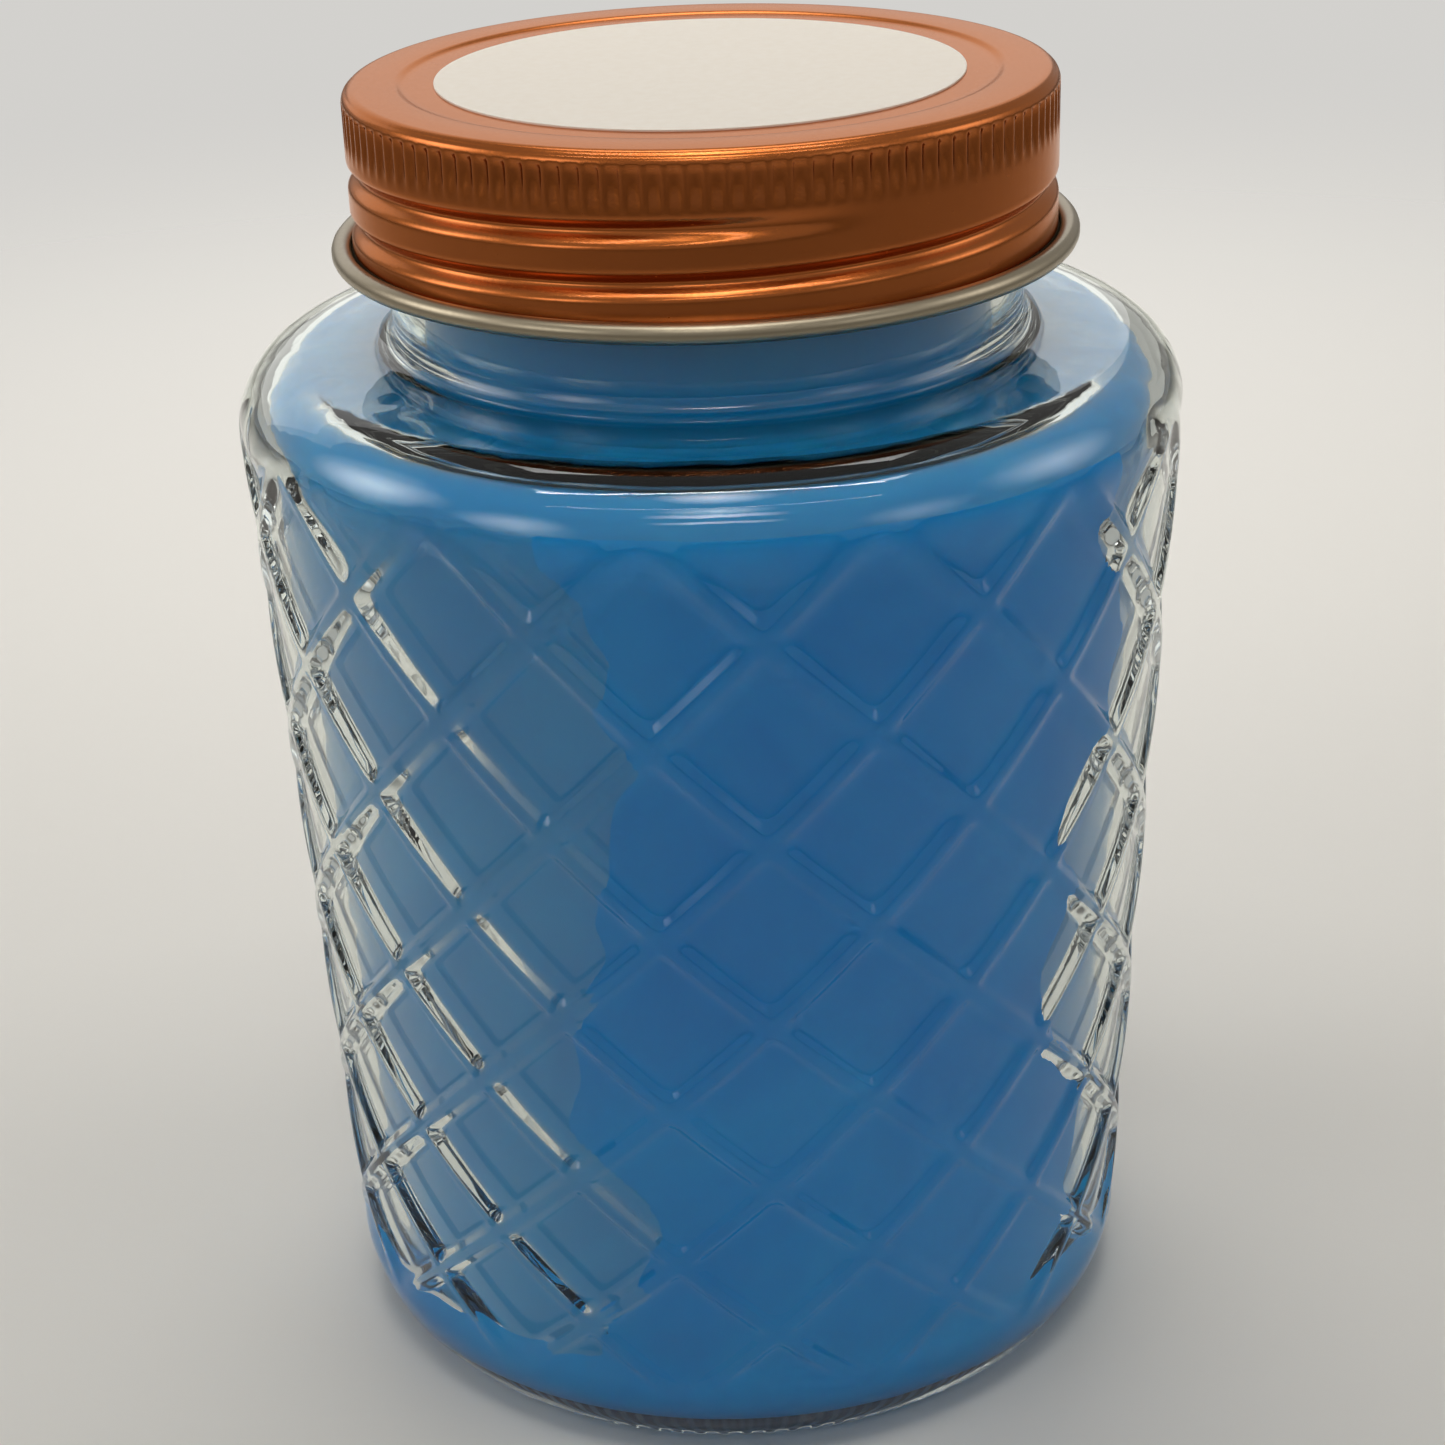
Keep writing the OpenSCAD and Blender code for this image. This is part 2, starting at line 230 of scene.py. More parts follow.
def outline_over_rim():
    """From the lattice over the shoulder, up the neck, over the rim and down inside to the floor."""
    lean = math.degrees(math.asin((row_z(ROW_HIGH) - SHOULDER_Z) / SHOULDER_ROUND))
    ledge_z = SHOULDER_Z + SHOULDER_ROUND + LEDGE_RISE
    fillet_r = NECK_R + NECK_FILLET
    fillet_z = ledge_z + NECK_FILLET
    rim_z = JAR_H - RIM_ROUND
    line = arc(SHOULDER_R, SHOULDER_Z, SHOULDER_ROUND, lean, 90, 10)[1:]
    line += straight(SHOULDER_R, ledge_z - LEDGE_RISE / 2, fillet_r, ledge_z, 4)
    line += arc(fillet_r, fillet_z, NECK_FILLET, 270, 180, 8)
    line += straight(NECK_R, fillet_z, NECK_R, THREAD_LOW_Z, 4)
    line += straight(NECK_R, THREAD_LOW_Z - THREAD_STEP, NECK_R, rim_z, 34)
    line += arc(NECK_R - RIM_ROUND, rim_z, RIM_ROUND, 0, 90, 5)
    line += arc(BORE_R + RIM_ROUND, rim_z, RIM_ROUND, 90, 180, 5)
    line += straight(BORE_R, rim_z, BORE_R, BORE_FILLET_Z, 3)
    line += arc(BORE_FILLET_R, BORE_FILLET_Z, BORE_FILLET, 180, 270, 6)
    line += straight(BORE_FILLET_R, CEILING_Z + LEDGE_RISE, SHOULDER_R, CEILING_Z, 3)
    line += arc(SHOULDER_R, SHOULDER_Z, INNER_ROUND, 90, 0, 8)
    line += straight(SHOULDER_R + INNER_ROUND, SHOULDER_Z, INNER_HEEL_R, INNER_HEEL_Z, 4)
    line += arc(INNER_HEEL_R - FLOOR_ROUND, INNER_HEEL_Z, FLOOR_ROUND, 0, -90, 8)
    line += [(24, FLOOR_Z), (12, FLOOR_Z + 0.2), (4, FLOOR_Z + 0.3), (1, FLOOR_Z + 0.3)]
    return line


def outline_under_foot():
    """From the lattice round the heel, over the foot ring and up into the push-up."""
    low = row_z(ROW_LOW)
    heights = [low * (1 - i / HEEL_STEPS) ** HEEL_CROWDING for i in range(1, HEEL_STEPS + 1)]
    ring_r = FOOT_R - FOOT_W
    line = [(crest_r(z), z) for z in heights]
    line += [(ring_r, 0), (ring_r - 0.8, 0.35), (30, 1.3), (24, 1.85), (14, PUSH_UP), (4, PUSH_UP)]
    return line


def helix_share(co, start, turns, z0, run_out):
    """Distance in height from a helix's centre line, and how far it has risen from its run-out ends."""
    best = (math.inf, 0.0)
    a = math.degrees(math.atan2(co.x, -co.y))
    for lap in range(-2, 4):
        along = a + 360 * lap - start
        if 0 <= along <= turns * 360:
            off = abs(co.z - (z0 + PITCH * (a + 360 * lap) / 360))
            if off < best[0]:
                best = (off, ease(min(along, turns * 360 - along) / run_out))
    return best


def raise_thread(bm):
    """Lifts the neck's wall into the thread's ridge, which dies away at both ends."""
    for v in bm.verts:
        if v.co.z > THREAD_LOW_Z + 1 and v.co.xy.length > NECK_R - 0.01:
            off, rise = helix_share(v.co, THREAD_START, THREAD_TURNS, BEAD_Z + THREAD_LEAD, THREAD_RUN_OUT)
            share = 1 - ease((off - THREAD_TOP_HALF) / (THREAD_FOOT_HALF - THREAD_TOP_HALF))
            grow = 1 + THREAD_H * share * rise / v.co.xy.length
            v.co.x *= grow
            v.co.y *= grow


def glass_jar_mesh():
    """The lattice comes first, and its upper and lower edges are carried on as the plain glass."""
    bm = lattice_net()
    carry_round(bm, open_ring(bm, row_z(ROW_HIGH)), outline_over_rim())
    carry_round(bm, open_ring(bm, row_z(ROW_LOW)), outline_under_foot())
    raise_thread(bm)
    bmesh.ops.recalc_face_normals(bm, faces=bm.faces)
    return bm


def new_piece(name, bm, *materials):
    """Turns a mesh in millimetres into a smooth-shaded object in metres."""
    bmesh.ops.scale(bm, vec=(MM, MM, MM), verts=bm.verts)
    mesh = bpy.data.meshes.new(name)
    bm.to_mesh(mesh)
    bm.free()
    mesh.polygons.foreach_set("use_smooth", [True] * len(mesh.polygons))
    for material in materials:
        mesh.materials.append(material)
    piece = bpy.data.objects.new(name, mesh)
    bpy.context.scene.collection.objects.link(piece)
    return piece


def linear(hex_colour):
    """An sRGB hex colour as linear RGBA."""
    parts = [int(hex_colour[i:i + 2], 16) / 255 for i in (1, 3, 5)]
    return tuple(c / 12.92 if c <= 0.04045 else ((c + 0.055) / 1.055) ** 2.4 for c in parts) + (1.0,)


def scale_for(grain):
    """A texture's scale for a grain of this size in millimetres."""
    return 1 / (grain * MM)


def add_node(tree, kind, settings=None, links=None):
    """Adds a node, sets its properties and sockets, and links its inputs to other nodes' outputs."""
    node = tree.nodes.new(kind)
    for key, value in (settings or {}).items():
        if isinstance(key, int) or key in node.inputs:
            node.inputs[key].default_value = value
        else:
            setattr(node, key, value)
    for key, socket in (links or {}).items():
        tree.links.new(socket, node.inputs[key])
    return node


def new_material(name, settings):
    """A material with one Principled shader, and its node tree, shader and Object coordinates."""
    material = bpy.data.materials.new(name)
    material.use_nodes = True
    tree = material.node_tree
    shader = tree.nodes["Principled BSDF"]
    for key, value in settings.items():
        shader.inputs[key].default_value = value
    place = add_node(tree, "ShaderNodeTexCoord").outputs["Object"]
    return material, tree, shader, place


def pressed_glass():
    """Soda-lime glass: index 1.52 and a trace of green, with the slow ripple that a mould leaves and a
    row of short upright bars round the foot, which show as a ring of small dashes."""
    material, tree, shader, place = new_material(
        "pressed_glass",
        {"Base Color": linear("#f3f9f2"), "Roughness": 0.0, "IOR": 1.52, "Transmission Weight": 1.0},
    )
    ripple = add_node(
        tree,
        "ShaderNodeTexNoise",
        {"Scale": scale_for(GLASS_RIPPLE), "Detail": 2.0, "Roughness": 0.5},
        {"Vector": place},
    )
    waves = add_node(
        tree, "ShaderNodeBump", {"Strength": 0.25, "Distance": 0.0004}, {"Height": ripple.outputs["Fac"]}
    )
    round_axis = add_node(tree, "ShaderNodeTexGradient", {"gradient_type": "RADIAL"}, {"Vector": place})
    beat = add_node(
        tree,
        "ShaderNodeMath",
        {"operation": "MULTIPLY", 1: 2 * math.pi * FOOT_BARS},
        {0: round_axis.outputs["Fac"]},
    )
    bars = add_node(tree, "ShaderNodeMath", {"operation": "SINE"}, {0: beat.outputs["Value"]})
    height = add_node(tree, "ShaderNodeSeparateXYZ", None, {"Vector": place})
    band = add_node(
        tree,
        "ShaderNodeMapRange",
        {
            "interpolation_type": "SMOOTHSTEP",
            "From Min": FOOT_BAR_TOP * MM,
            "From Max": 0.4 * FOOT_BAR_TOP * MM,
        },
        {"Value": height.outputs["Z"]},
    )
    foot = add_node(
        tree,
        "ShaderNodeMath",
        {"operation": "MULTIPLY"},
        {0: bars.outputs["Value"], 1: band.outputs["Result"]},
    )
    bump = add_node(
        tree,
        "ShaderNodeBump",
        {"Strength": 1.0, "Distance": FOOT_BAR_H * MM},
        {"Height": foot.outputs["Value"], "Normal": waves.outputs["Normal"]},
    )
    tree.links.new(bump.outputs["Normal"], shader.inputs["Normal"])
    return material


glass_jar = new_piece("jar_glass", glass_jar_mesh(), pressed_glass())
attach(glass_jar, "jar")
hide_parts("glass_jar")


# ------------------------------------------------------------------ wick clips and stickers
# Each wick stands in a stamped tinplate clip, a disc with a collar, and a foam
# sticker holds the clip to the glass floor. The wax covers them.
TIN_GRAIN = 0.3846
STICKER_PORE = 0.5


def tinned_plate(name, tint):
    """Tinplate: bright, a little grey, with the fine drag lines of rolling."""
    material, tree, shader, place = new_material(
        name, {"Base Color": linear(tint), "Metallic": 1.0, "Roughness": 0.32}
    )
    grain = add_node(
        tree, "ShaderNodeTexNoise", {"Scale": scale_for(TIN_GRAIN), "Detail": 3.0}, {"Vector": place}
    ).outputs["Fac"]
    rough = add_node(tree, "ShaderNodeMapRange", {"To Min": 0.26, "To Max": 0.42}, {"Value": grain})
    bump = add_node(tree, "ShaderNodeBump", {"Strength": 0.2, "Distance": 0.00003}, {"Height": grain})
    tree.links.new(rough.outputs["Result"], shader.inputs["Roughness"])
    tree.links.new(bump.outputs["Normal"], shader.inputs["Normal"])
    return material


def foam(name, tint, pore):
    """Closed-cell foam: matt, with pores that pit the surface."""
    material, tree, shader, place = new_material(name, {"Base Color": linear(tint), "Roughness": 0.85})
    pores = add_node(tree, "ShaderNodeTexVoronoi", {"Scale": scale_for(pore)}, {"Vector": place})
    bump = add_node(
        tree, "ShaderNodeBump", {"Strength": 0.5, "Distance": 0.0001}, {"Height": pores.outputs["Distance"]}
    )
    tree.links.new(bump.outputs["Normal"], shader.inputs["Normal"])
    return material


def dress_solid(name, material):
    """Gives a solid of the frame its material."""
    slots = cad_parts[name].data.materials
    slots.clear()
    slots.append(material)


clip_tin = tinned_plate("tinned_clip", "#b9b7b0")
sticker_foam = foam("sticker_foam", "#ecebe6", STICKER_PORE)
for side in ("left", "right"):
    dress_solid("wick_clip_" + side, clip_tin)
    dress_solid("wick_sticker_" + side, sticker_foam)


# ------------------------------------------------------------------ wicks
# Two braided cotton wicks, each of strands that wind both ways round a core. They
# are dipped in wax and trimmed a few millimetres above the candle.
WICK_GAP = 34.0
WICK_FOOT_Z = 5.2
WICK_TOP_Z = 128.0
BRAID_R = 1.3
STRANDS = 3
STRAND_R = 0.5
STRAND_PITCH = 9.0
STEPS_A_TURN = 8
COTTON_FIBRE = 0.2857


def wick_mesh(side):
    """Strands spun round the wick's axis, half of them each way."""
    bm = bmesh.new()
    length = WICK_TOP_Z - WICK_FOOT_Z
    turns = length / STRAND_PITCH
    steps = round(turns * STEPS_A_TURN)
    upright = Matrix.Translation((BRAID_R - STRAND_R, 0, 0)) @ Matrix.Rotation(math.pi / 2, 4, "X")
    for way in (-1, 1):
        for strand in range(STRANDS):
            verts = bmesh.ops.create_circle(bm, cap_ends=True, segments=6, radius=STRAND_R)["verts"]
            bmesh.ops.transform(bm, matrix=upright, verts=verts)
            bmesh.ops.rotate(bm, matrix=Matrix.Rotation(2 * math.pi * strand / STRANDS, 3, "Z"), verts=verts)
            face = verts[0].link_faces[0]
            bmesh.ops.spin(
                bm,
                geom=[face] + list(face.edges) + verts,
                cent=(0, 0, 0),
                axis=(0, 0, 1),
                dvec=(0, 0, length / steps),
                angle=way * 2 * math.pi * turns,
                steps=steps,
            )
    bmesh.ops.recalc_face_normals(bm, faces=bm.faces)
    bmesh.ops.translate(bm, vec=(side * WICK_GAP / 2, 0, WICK_FOOT_Z), verts=bm.verts)
    return bm


def waxed_cotton():
    """Braided cotton yarn, off-white and matt, with a thin skin of wax and fibres along the strand."""
    material, tree, shader, place = new_material(
        "waxed_cotton", {"Base Color": linear("#e6decb"), "Roughness": 0.62, "Sheen Weight": 0.3}
    )
    fibre = add_node(
        tree, "ShaderNodeTexNoise", {"Scale": scale_for(COTTON_FIBRE), "Detail": 2.0}, {"Vector": place}
    )
    tint = add_node(tree, "ShaderNodeValToRGB", None, {"Fac": fibre.outputs["Fac"]})
    tint.color_ramp.elements[0].color = linear("#cfc4a8")
    tint.color_ramp.elements[1].color = linear("#f1ebdc")
    bump = add_node(
        tree, "ShaderNodeBump", {"Strength": 0.4, "Distance": 0.0001}, {"Height": fibre.outputs["Fac"]}
    )
    tree.links.new(tint.outputs["Color"], shader.inputs["Base Color"])
    tree.links.new(bump.outputs["Normal"], shader.inputs["Normal"])
    return material


cotton = waxed_cotton()
for name, side in (("wick_left", -1), ("wick_right", 1)):
    wick = new_piece(name + "_braid", wick_mesh(side), cotton)
    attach(wick, "jar")
    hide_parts(name)


# ------------------------------------------------------------------ wax
# The candle is soft dyed wax, poured in hot. As it sets it clings to the glass in
# places and shrinks from it in others, and its top sinks a little between the wicks.
WAX_Z = 122.0
WAX_DIP = 0.8
WAX_GAP = 0.2
WAX_BITE = 0.05
WAX_COLUMNS = 300
CLING_SIDE = 18.0
CLING_REACH = 37.0
CLING_LOW_Z = 12.0
CLING_LOW_RUN = 4.0
FREE_Z = 107.5
FREE_RUN = 2.0
PATCH = 17.0
PATCH_SHARE = 0.14
PATCH_EDGE = 0.05
FINE_PATCH = PATCH / 2.3
WAX_FROST = 26.3


def cling(co):
    """1 where the wax has stayed on the glass and 0 where it has come away, in patches with crisp edges."""
    turned = math.atan2(co.x, -co.y) - math.radians(CLING_SIDE)
    hold = math.cos(turned) - math.cos(math.radians(CLING_REACH))
    hold += 2 * ease((CLING_LOW_Z - co.z) / CLING_LOW_RUN)
    hold -= 2 * ease((co.z - FREE_Z) / FREE_RUN)
    hold += PATCH_SHARE * (noise.noise(co / PATCH) + noise.noise(co / FINE_PATCH) / 2)
    return ease(0.5 + hold / PATCH_EDGE)


def wax_outline():
    """From the axis over the floor, up the glass, under the shoulder and over the sunk top."""
    line = [(0, FLOOR_Z), (20, FLOOR_Z), (30, FLOOR_Z)]
    line += arc(INNER_HEEL_R - FLOOR_ROUND, INNER_HEEL_Z, FLOOR_ROUND, -90, 0, 10)
    line += straight(INNER_HEEL_R, INNER_HEEL_Z, SHOULDER_R + INNER_ROUND, SHOULDER_Z, 100)
    line += arc(SHOULDER_R, SHOULDER_Z, INNER_ROUND, 0, 90, 8)
    line += straight(SHOULDER_R, CEILING_Z, BORE_FILLET_R, CEILING_Z + LEDGE_RISE, 9)
    line += arc(BORE_FILLET_R, BORE_FILLET_Z, BORE_FILLET, 270, 180, 6)
    line += straight(BORE_R, BORE_FILLET_Z, BORE_R, WAX_Z - 0.5, 9)
    line += [(BORE_R, WAX_Z - 0.5), (BORE_R - 0.4, WAX_Z), (BORE_R - 1.4, WAX_Z - 0.2)]
    line += [(BORE_R * 0.6, WAX_Z - WAX_DIP * 0.8), (0, WAX_Z - WAX_DIP)]
    return line


def spun_outline(outline, columns):
    """A turned shape from an outline of (radius, height), with its seam and poles closed."""
    bm = bmesh.new()
    verts = [bm.verts.new((r, 0, z)) for r, z in outline]
    edges = [bm.edges.new(pair) for pair in zip(verts, verts[1:])]
    full_turn = {"cent": (0, 0, 0), "axis": (0, 0, 1), "angle": 2 * math.pi}
    bmesh.ops.spin(bm, geom=verts + edges, steps=columns, use_merge=True, **full_turn)
    bmesh.ops.remove_doubles(bm, verts=bm.verts, dist=WELD)
    bmesh.ops.recalc_face_normals(bm, faces=bm.faces)
    return bm


def wax_mesh():
    """Fills the glass's inner shape, then stands off it wherever the wax has come away."""
    bm = spun_outline(wax_outline(), WAX_COLUMNS)
    bm.normal_update()
    moves = [(v, v.normal * (cling(v.co) * (WAX_GAP + WAX_BITE) - WAX_GAP)) for v in bm.verts]
    for v, move in moves:
        v.co += move
    return bm


def dyed_wax():
    """Soft wax: light goes a little way in, so it glows at edges, and frost mottles its dye."""
    material, tree, shader, place = new_material(
        "dyed_wax",
        {
            "Roughness": 0.5,
            "IOR": 1.44,
            "Specular IOR Level": 0.15,
            "Subsurface Weight": 0.2,
            "Subsurface Radius": (0.002, 0.003, 0.005),
            "Subsurface Scale": 0.6,
        },
    )
    frost = add_node(
        tree,
        "ShaderNodeTexNoise",
        {"Scale": scale_for(WAX_FROST), "Detail": 5.0, "Roughness": 0.55, "Distortion": 0.6},
        {"Vector": place},
    )
    tint = add_node(tree, "ShaderNodeValToRGB", None, {"Fac": frost.outputs["Fac"]})
    tint.color_ramp.elements[0].position = 0.3
    tint.color_ramp.elements[0].color = linear("#0998ec")
    tint.color_ramp.elements[1].position = 0.72
    tint.color_ramp.elements[1].color = linear("#22aefa")
    tree.links.new(tint.outputs["Color"], shader.inputs["Base Color"])
    return material


wax = new_piece("candle_wax", wax_mesh(), dyed_wax())
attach(wax, "jar")
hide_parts("wax_fill")


# ------------------------------------------------------------------ liner
# A disc of white closed-cell foam, punched from sheet, lies loose inside the lid. It
# seals on the jar's rim when the lid is screwed down.
LINER_PORE = 0.35

dress_solid("lid_liner", foam("liner_foam", "#e9e6dd", LINER_PORE))


# ------------------------------------------------------------------ lid
# One piece of tinplate, drawn to a cap: a sunk panel, a rounded edge, a fluted grip
# band, a thread rolled inwards, and an edge curled outwards. The outside is lacquered
# copper before drawing, and the curl shows the sheet's bare tinned underside.
LID_R = 36.4
LID_TOP_Z = 141.0
LID_ROUND = 1.4
LID_ROUND_STEPS = 14
CREASE_AT = 48.0
CREASE_HALF = 13.0
CREASE_DEPTH = 0.07
SHEET = 0.3
PANEL_SINK = 0.3
PANEL_STEP = ((30.1, 0.0), (30.35, 0.05), (30.6, 0.18), (30.8, 0.27), (31.1, 0.3))
WALL_ROW = 0.26
FLUTES = 120
FLUTE_DEPTH = 0.42
FLUTE_TOP_Z = 140.0
FLUTE_TOP_RUN = 1.0
FLUTE_LOW_Z = 134.6
FLUTE_LOW_RUN = 4.0
FLUTE_SHARES = (0.0, 0.22, 0.36, 0.86)
FLUTE_COLUMNS = FLUTES * len(FLUTE_SHARES)
GROOVE_START = -134.0
GROOVE_TURNS = 1.45
GROOVE_DEPTH = 1.15
GROOVE_HALF = 1.45
GROOVE_RUN_OUT = 45.0
CURL_R = 37.6
CURL_Z = 124.45
CURL_ROUND = 0.75
CURL_NECK = 0.9
BARE_TOP_Z = CURL_Z + 0.72
LACQUER_GRAIN = 0.4545
LACQUER_CLOUD = 16.67


def lid_outline():
    """From the axis over the sunk panel and the rounded edge, down the wall and round the curl."""
    panel_z = LID_TOP_Z - PANEL_SINK
    round_r = LID_R - LID_ROUND
    round_z = LID_TOP_Z - LID_ROUND
    low_z = CURL_Z + 1.3
    line = [(r, panel_z) for r in (0, 10, 20, 26, 29.5)]
    line += [(r, panel_z + rise) for r, rise in PANEL_STEP]
    line += [(33, LID_TOP_Z)]
    for step in range(LID_ROUND_STEPS + 1):
        a = math.pi / 2 * (1 - step / LID_ROUND_STEPS)
        r = LID_ROUND - CREASE_DEPTH * ease(1 - abs(math.degrees(a) - CREASE_AT) / CREASE_HALF)
        line.append((round_r + r * math.cos(a), round_z + r * math.sin(a)))
    line += straight(LID_R, round_z, LID_R, low_z, round((round_z - low_z) / WALL_ROW))
    line += arc(LID_R + CURL_NECK, CURL_Z + 0.6, CURL_NECK, 180, 250, 3)
    line += arc(CURL_R, CURL_Z, CURL_ROUND, -140, 160, 14)
    return line


def roll_wall(bm):
    """Shares each flute's columns between its ridge and its hollow, and rolls in groove and flutes."""
    for v in bm.verts:
        r = v.co.xy.length
        if r < 1:
            continue
        column = round(math.atan2(v.co.y, v.co.x) / (2 * math.pi) * FLUTE_COLUMNS) % FLUTE_COLUMNS
        flute, part = divmod(column, len(FLUTE_SHARES))
        a = 2 * math.pi / FLUTES * (flute + FLUTE_SHARES[part])
        if r > LID_R - 0.1 and v.co.z > CURL_Z + 1:
            v.co.x, v.co.y = r * math.cos(a), r * math.sin(a)
            off, rise = helix_share(v.co, GROOVE_START, GROOVE_TURNS, BEAD_Z, GROOVE_RUN_OUT)
            r -= GROOVE_DEPTH * rise * (1 - ease(off / GROOVE_HALF))
            if part > 1:
                fade = ease((FLUTE_TOP_Z - v.co.z) / FLUTE_TOP_RUN)
                fade *= ease((v.co.z - FLUTE_LOW_Z) / FLUTE_LOW_RUN)
                r -= FLUTE_DEPTH * fade
        v.co.x, v.co.y = r * math.cos(a), r * math.sin(a)


def lid_mesh():
    """The outside is spun and rolled first, and the sheet's thickness goes inwards from it."""
    bm = spun_outline(lid_outline(), FLUTE_COLUMNS)
    roll_wall(bm)
    for face in bm.faces:
        face.material_index = int(face.calc_center_median().z < BARE_TOP_Z)
    inside = bmesh.ops.solidify(bm, geom=bm.faces[:], thickness=SHEET)["geom"]
    for face in inside:
        if isinstance(face, bmesh.types.BMFace):
            face.material_index = 1
    return bm


def copper_lacquer():
    """Satin stoving lacquer, copper-tinted and clear enough that the tin below still mirrors softly."""
    material, tree, shader, place = new_material(
        "copper_lacquer",
        {
            "Metallic": 1.0,
            "Roughness": 0.25,
            "Specular Tint": linear("#ffdcc0"),
            "Coat Weight": 0.3,
            "Coat Roughness": 0.15,
        },
    )
    grain = add_node(
        tree,
        "ShaderNodeTexNoise",
        {"Scale": scale_for(LACQUER_GRAIN), "Detail": 2.0, "Roughness": 0.6},
        {"Vector": place},
    ).outputs["Fac"]
    cloud = add_node(
        tree, "ShaderNodeTexNoise", {"Scale": scale_for(LACQUER_CLOUD), "Detail": 3.0}, {"Vector": place}
    )
    tint = add_node(tree, "ShaderNodeValToRGB", None, {"Fac": cloud.outputs["Fac"]})
    tint.color_ramp.elements[0].color = linear("#a85821")
    tint.color_ramp.elements[1].color = linear("#b9672d")
    rough = add_node(tree, "ShaderNodeMapRange", {"To Min": 0.2, "To Max": 0.3}, {"Value": grain})
    bump = add_node(tree, "ShaderNodeBump", {"Strength": 0.25, "Distance": 0.00004}, {"Height": grain})
    tree.links.new(tint.outputs["Color"], shader.inputs["Base Color"])
    tree.links.new(rough.outputs["Result"], shader.inputs["Roughness"])
    tree.links.new(bump.outputs["Normal"], shader.inputs["Normal"])
    return material


lid = new_piece("lid_sheet", lid_mesh(), copper_lacquer(), tinned_plate("bare_tinplate", "#a39781"))
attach(lid, "lid")
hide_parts("lid_shell")


# ------------------------------------------------------------------ label
# A round label of coated paper with a softened cut edge, stuck to the sunk panel
# of the lid. It is left plain.
LABEL_R = 27.0
LABEL_T = 0.2
LABEL_Z = LID_TOP_Z - PANEL_SINK
LABEL_EDGE = 0.06
PAPER_FIBRE = 1.111


def label_mesh():
    """A disc extruded to the paper's thickness, with its upper edge softened."""
    bm = bmesh.new()
    bmesh.ops.create_circle(bm, cap_ends=True, segments=160, radius=LABEL_R)
    top = only_verts(bmesh.ops.extrude_face_region(bm, geom=bm.faces[:])["geom"])
    bmesh.ops.translate(bm, vec=(0, 0, LABEL_T), verts=top)
    bmesh.ops.translate(bm, vec=(0, 0, LABEL_Z), verts=bm.verts)
    bmesh.ops.recalc_face_normals(bm, faces=bm.faces)
    edge = [e for e in bm.edges if e.verts[0].co.z > LABEL_Z + LABEL_T / 2 and e.verts[1] in top]
    bmesh.ops.bevel(bm, geom=edge, offset=LABEL_EDGE, segments=2, profile=0.5, affect="EDGES", material=-1)
    return bm


def coated_paper():
    """Coated label paper: warm white and nearly matt, with a faint fibre mottle."""
    material, tree, shader, place = new_material("coated_paper", {"Roughness": 0.5})
    fibre = add_node(
        tree, "ShaderNodeTexNoise", {"Scale": scale_for(PAPER_FIBRE), "Detail": 4.0}, {"Vector": place}
    )
    tint = add_node(tree, "ShaderNodeValToRGB", None, {"Fac": fibre.outputs["Fac"]})
    tint.color_ramp.elements[0].color = linear("#f6ead8")
    tint.color_ramp.elements[1].color = linear("#fdf4e6")
    bump = add_node(
        tree, "ShaderNodeBump", {"Strength": 0.15, "Distance": 0.00005}, {"Height": fibre.outputs["Fac"]}
    )
    tree.links.new(tint.outputs["Color"], shader.inputs["Base Color"])
    tree.links.new(bump.outputs["Normal"], shader.inputs["Normal"])
    return material


label = new_piece("label_paper", label_mesh(), coated_paper())
for polygon in label.data.polygons:
    polygon.use_smooth = False
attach(label, "lid")
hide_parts("lid_label")


# ------------------------------------------------------------------ floor, light and camera
# A pale paper sweep with a soft box overhead and one behind, broad gridded boxes at both
# sides and at the front, and long thin lamps that draw the fine lines of light on the glass.
FLOOR_HALF = 4.0
SWEEP_NEAR = 0.2
SWEEP_FAR = 0.7
PAPER_TOOTH = 2.5


def pale_floor():
    """Matt pale paper sweep. Seen straight, it runs out softly into the surround."""
    material, tree, shader, place = new_material(
        "pale_floor", {"Base Color": linear("#e6e2da"), "Roughness": 0.9}
    )
    tooth = add_node(
        tree, "ShaderNodeTexNoise", {"Scale": scale_for(PAPER_TOOTH), "Detail": 3.0}, {"Vector": place}
    )
    bump = add_node(
        tree, "ShaderNodeBump", {"Strength": 0.1, "Distance": 0.0002}, {"Height": tooth.outputs["Fac"]}
    )
    away = add_node(tree, "ShaderNodeVectorMath", {"operation": "LENGTH"}, {"Vector": place})
    run_out = add_node(
        tree,
        "ShaderNodeMapRange",
        {
            "interpolation_type": "SMOOTHSTEP",
            "From Min": SWEEP_NEAR,
            "From Max": SWEEP_FAR,
            "To Min": 1.0,
            "To Max": 0.0,
        },
        {"Value": away.outputs["Value"]},
    )
    ray = add_node(tree, "ShaderNodeLightPath")
    unseen = add_node(
        tree, "ShaderNodeMath", {"operation": "SUBTRACT", 0: 1.0}, {1: ray.outputs["Is Camera Ray"]}
    )
    there = add_node(
        tree, "ShaderNodeMath", {"operation": "MAXIMUM"}, {0: run_out.outputs["Result"], 1: unseen.outputs[0]}
    )
    tree.links.new(bump.outputs["Normal"], shader.inputs["Normal"])
    tree.links.new(there.outputs[0], shader.inputs["Alpha"])
    return material


def floor_mesh():
    bm = bmesh.new()
    bmesh.ops.create_grid(bm, x_segments=1, y_segments=1, size=FLOOR_HALF / MM)
    return bm


floor = new_piece("floor", floor_mesh(), pale_floor())

# The pale surround shows behind the object, in the metal and through the glass, and
# lights little. Each entry is the strength for one kind of ray.
SURROUND_LIGHT = 0.08
SURROUND_SEEN = (("Is Camera Ray", 0.66), ("Is Glossy Ray", 0.4), ("Is Transmission Ray", 0.4))

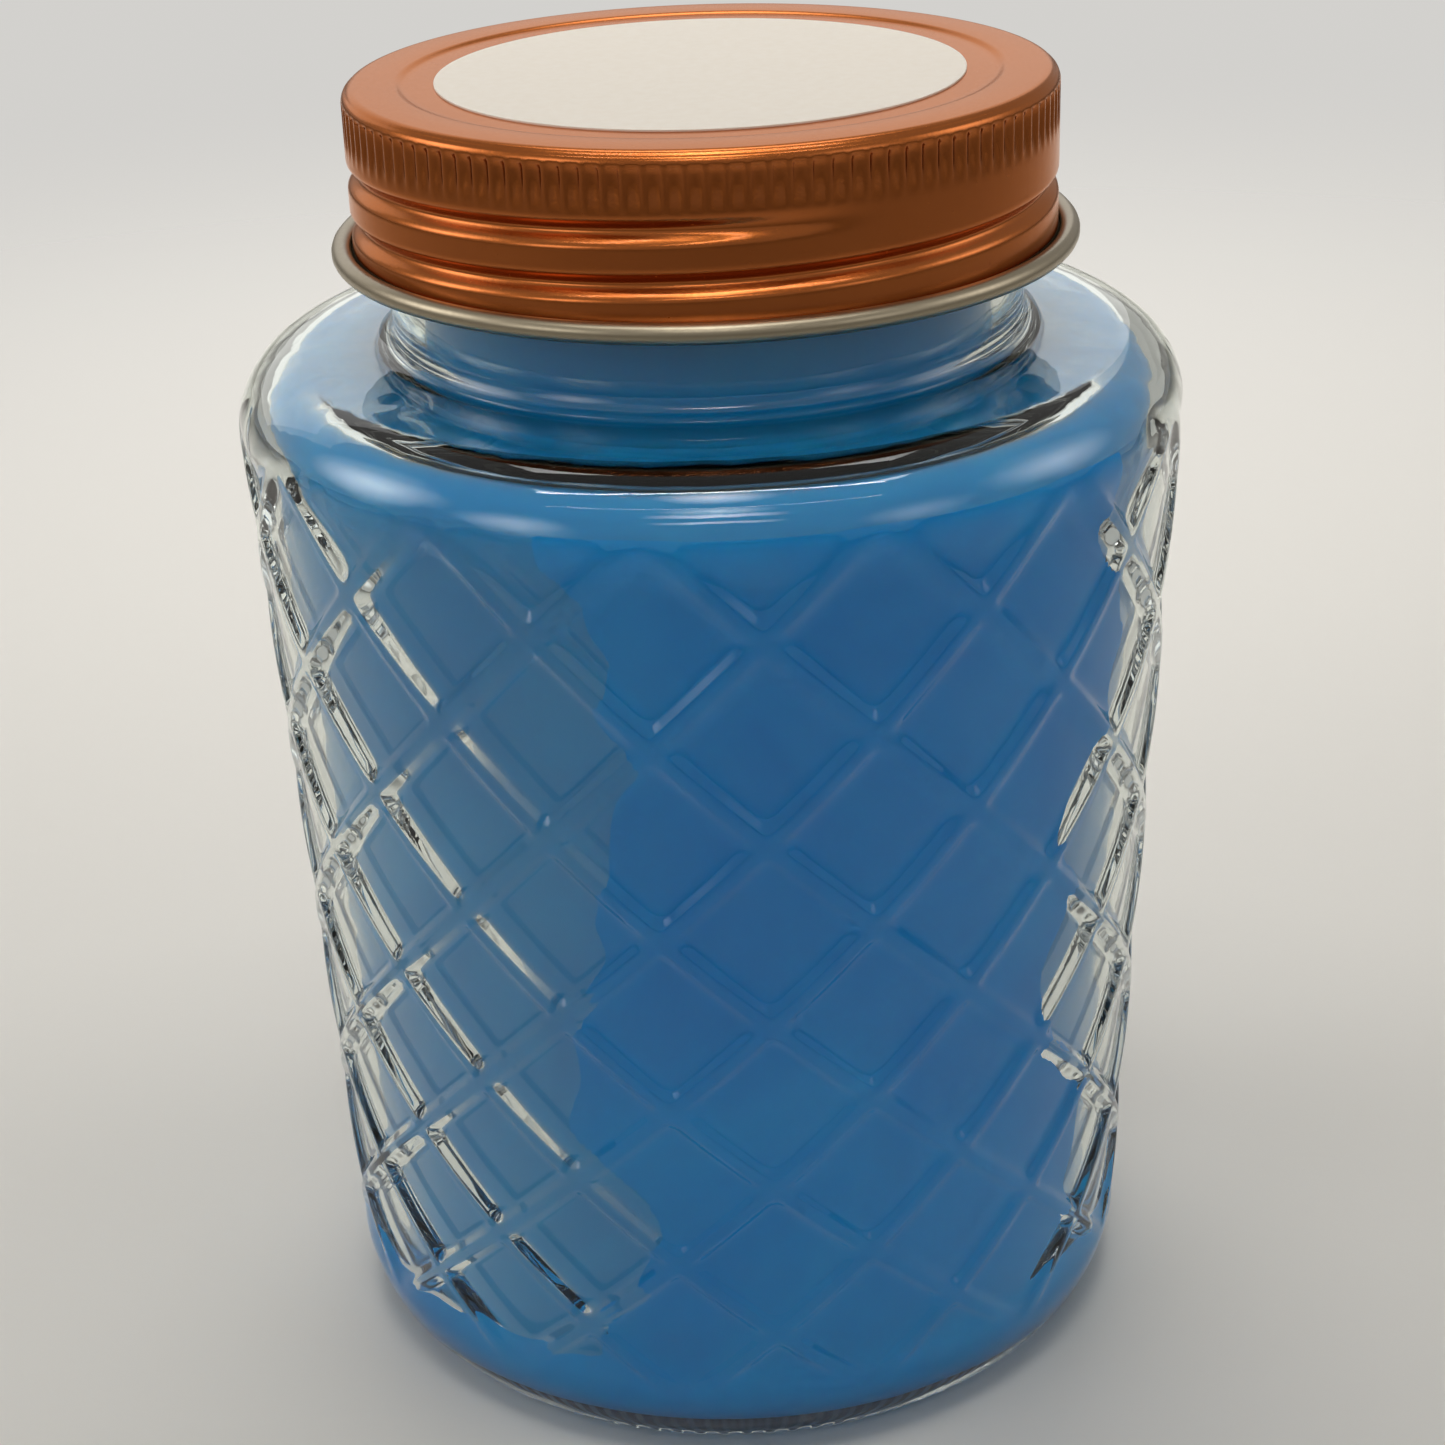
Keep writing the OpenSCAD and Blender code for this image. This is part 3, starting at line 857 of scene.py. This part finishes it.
world = bpy.data.worlds.new("studio")
bpy.context.scene.world = world
world.use_nodes = True
surround = world.node_tree
ray = add_node(surround, "ShaderNodeLightPath")
strength = add_node(surround, "ShaderNodeValue")
strength.outputs[0].default_value = SURROUND_LIGHT
for kind, seen in SURROUND_SEEN:
    part = add_node(surround, "ShaderNodeMath", {"operation": "MULTIPLY", 1: seen}, {0: ray.outputs[kind]})
    links = {0: strength.outputs[0], 1: part.outputs[0]}
    strength = add_node(surround, "ShaderNodeMath", {"operation": "MAXIMUM"}, links)
surround.nodes["Background"].inputs["Color"].default_value = linear("#fdfbf7")
surround.links.new(strength.outputs[0], surround.nodes["Background"].inputs["Strength"])


def soft_box(name, place, aim, size, watts, spread=180.0):
    """A white area lamp of (width, height), aimed at a point. A small spread stands for a grid."""
    lamp = bpy.data.lights.new(name, "AREA")
    lamp.shape = "RECTANGLE"
    lamp.size, lamp.size_y = size
    lamp.energy = watts
    lamp.color = linear("#ffffff")[:3]
    lamp.spread = math.radians(spread)
    holder = bpy.data.objects.new(name, lamp)
    holder.location = place
    holder.rotation_euler = (Vector(aim) - Vector(place)).to_track_quat("-Z", "Y").to_euler()
    bpy.context.scene.collection.objects.link(holder)


JAR_MIDDLE = (0, 0.02, 0.1)
soft_box("overhead_box", (0.0, 0.6, 0.95), (0, 0.52, 0), size=(0.6, 0.6), watts=1.7, spread=75.0)
soft_box("back_box", (-0.35, 1.3, 0.65), (0, 0, 0.13), size=(1.8, 0.7), watts=2.4)
soft_box("left_box", (-1.1, 0.1, 0.6), JAR_MIDDLE, size=(1.2, 1.2), watts=0.82, spread=40.0)
soft_box("right_box", (1.1, 0.1, 0.6), JAR_MIDDLE, size=(1.2, 1.2), watts=0.46, spread=40.0)
soft_box("front_left_box", (-0.9, -0.75, 0.5), JAR_MIDDLE, size=(0.9, 0.9), watts=0.2, spread=30.0)
soft_box("front_right_box", (0.9, -0.75, 0.5), JAR_MIDDLE, size=(0.9, 0.9), watts=0.085, spread=30.0)
soft_box("front_strip", (0.0, -0.8, 0.85), (0, 0, 0.15), size=(0.9, 0.08), watts=0.06, spread=30.0)
soft_box("upper_box", (0.0, -0.3, 0.9), (0, -0.03, 0.11), size=(0.5, 0.4), watts=0.06, spread=20.0)
soft_box("top_strip", (0.0, -0.2, 0.95), (0, 0, 0.11), size=(0.9, 0.012), watts=1.4)

CAMERA_PLACE = (0.0, -0.288, 0.1998)
CAMERA_DIP = math.radians(24.60)
CAMERA_ROLL = math.radians(-1.976)
FRAME_PIXELS = 1445
FOCAL_PIXELS = 2822.4
SENSOR = 36.0

camera_data = bpy.data.cameras.new("camera")
camera_data.sensor_width = SENSOR
camera_data.lens = FOCAL_PIXELS / FRAME_PIXELS * SENSOR
camera_data.clip_start = 0.01
camera = bpy.data.objects.new("camera", camera_data)
look = Matrix.Rotation(math.pi / 2 - CAMERA_DIP, 4, "X") @ Matrix.Rotation(CAMERA_ROLL, 4, "Z")
camera.matrix_world = Matrix.Translation(CAMERA_PLACE) @ look
bpy.context.scene.collection.objects.link(camera)
bpy.context.scene.camera = camera
bpy.context.scene.view_settings.view_transform = "Standard"

# Light crosses many faces of ribbed glass, and with fewer bounces it dies in dark streaks.
bpy.context.scene.cycles.glossy_bounces = 12
